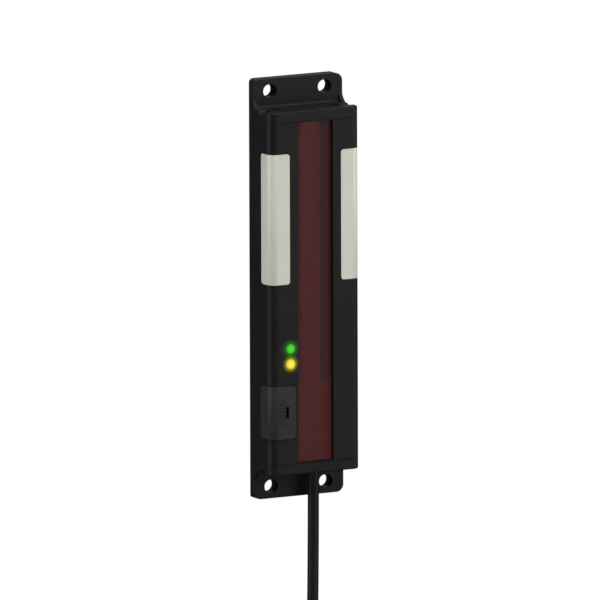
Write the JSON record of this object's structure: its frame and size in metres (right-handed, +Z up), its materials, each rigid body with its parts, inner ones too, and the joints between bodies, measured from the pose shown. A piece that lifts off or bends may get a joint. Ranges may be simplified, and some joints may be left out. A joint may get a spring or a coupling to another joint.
{
  "type": "light barrier",
  "caption": "Slim wall-mounted light barrier with a tall red window, wrap-round job lamps, status lights, a mode cover and a short lead with a round plug.",
  "frame": {"origin": "middle of the four mounting slots, on the back face", "axes": "+X to the right seen from the front, +Y into the wall, +Z up along the body"},
  "size_m": [0.0352, 0.0177, 0.3236],
  "materials": {
    "black_housing": "satin",
    "black_cap": "satin",
    "seal_rubber": "matte",
    "screw_steel": "satin",
    "red_window": "gloss",
    "optic_plastic": "gloss",
    "carrier_plastic": "matte",
    "diode_resin": "gloss",
    "board_green": "satin",
    "lamp_white": "satin",
    "led_white": "satin",
    "cover_grey": "matte",
    "switch_body": "matte",
    "slider_white": "satin",
    "pipe_green": "gloss",
    "pipe_yellow": "gloss",
    "lead_jacket": "satin",
    "plug_black": "matte",
    "nut_metal": "satin",
    "insert_plastic": "satin",
    "pin_gold": "satin"
  },
  "bodies": {
    "barrier": {"housing": "black_housing", "top_end_cap": "black_cap", "bottom_end_cap": "black_cap", "top_cap_seal": "seal_rubber", "bottom_cap_seal": "seal_rubber", "top_cap_screws": "screw_steel", "bottom_cap_screws": "screw_steel", "window": "red_window", "lens_strip": "optic_plastic", "optics_carrier": "carrier_plastic", "beam_senders": "diode_resin", "beam_receivers": "diode_resin", "main_board": "board_green", "left_lamp_lens": "lamp_white", "right_lamp_lens": "lamp_white", "left_lamp_board": "board_green", "right_lamp_board": "board_green", "left_lamp_leds": "led_white", "right_lamp_leds": "led_white", "lamp_headers": "carrier_plastic", "mode_cover": "cover_grey", "mode_switch": "switch_body", "ready_light_pipe": "pipe_green", "signal_light_pipe": "pipe_yellow", "status_leds": "led_white", "cable_grommet": "seal_rubber", "board_connector": "carrier_plastic", "lead": "lead_jacket", "plug_body": "plug_black", "plug_insert": "insert_plastic", "plug_pins": "pin_gold"},
    "nut": {"plug_nut": "nut_metal"},
    "slider_1": {"mode_slider_1": "slider_white"},
    "slider_2": {"mode_slider_2": "slider_white"},
    "slider_3": {"mode_slider_3": "slider_white"},
    "slider_4": {"mode_slider_4": "slider_white"}
  },
  "joints": [
    {"name": "nut_spin", "type": "hinge", "parent": "barrier", "child": "nut", "pos_m": [0.0014, -0.0098, -0.2402], "axis": [0, 0, 1], "continuous": true},
    {"name": "slider_1_slide", "type": "slide", "parent": "barrier", "child": "slider_1", "axis": [1, 0, 0], "range_m": [0, 0.002]},
    {"name": "slider_2_slide", "type": "slide", "parent": "barrier", "child": "slider_2", "axis": [1, 0, 0], "range_m": [0, 0.002]},
    {"name": "slider_3_slide", "type": "slide", "parent": "barrier", "child": "slider_3", "axis": [1, 0, 0], "range_m": [0, 0.002]},
    {"name": "slider_4_slide", "type": "slide", "parent": "barrier", "child": "slider_4", "axis": [1, 0, 0], "range_m": [0, 0.002]}
  ]
}
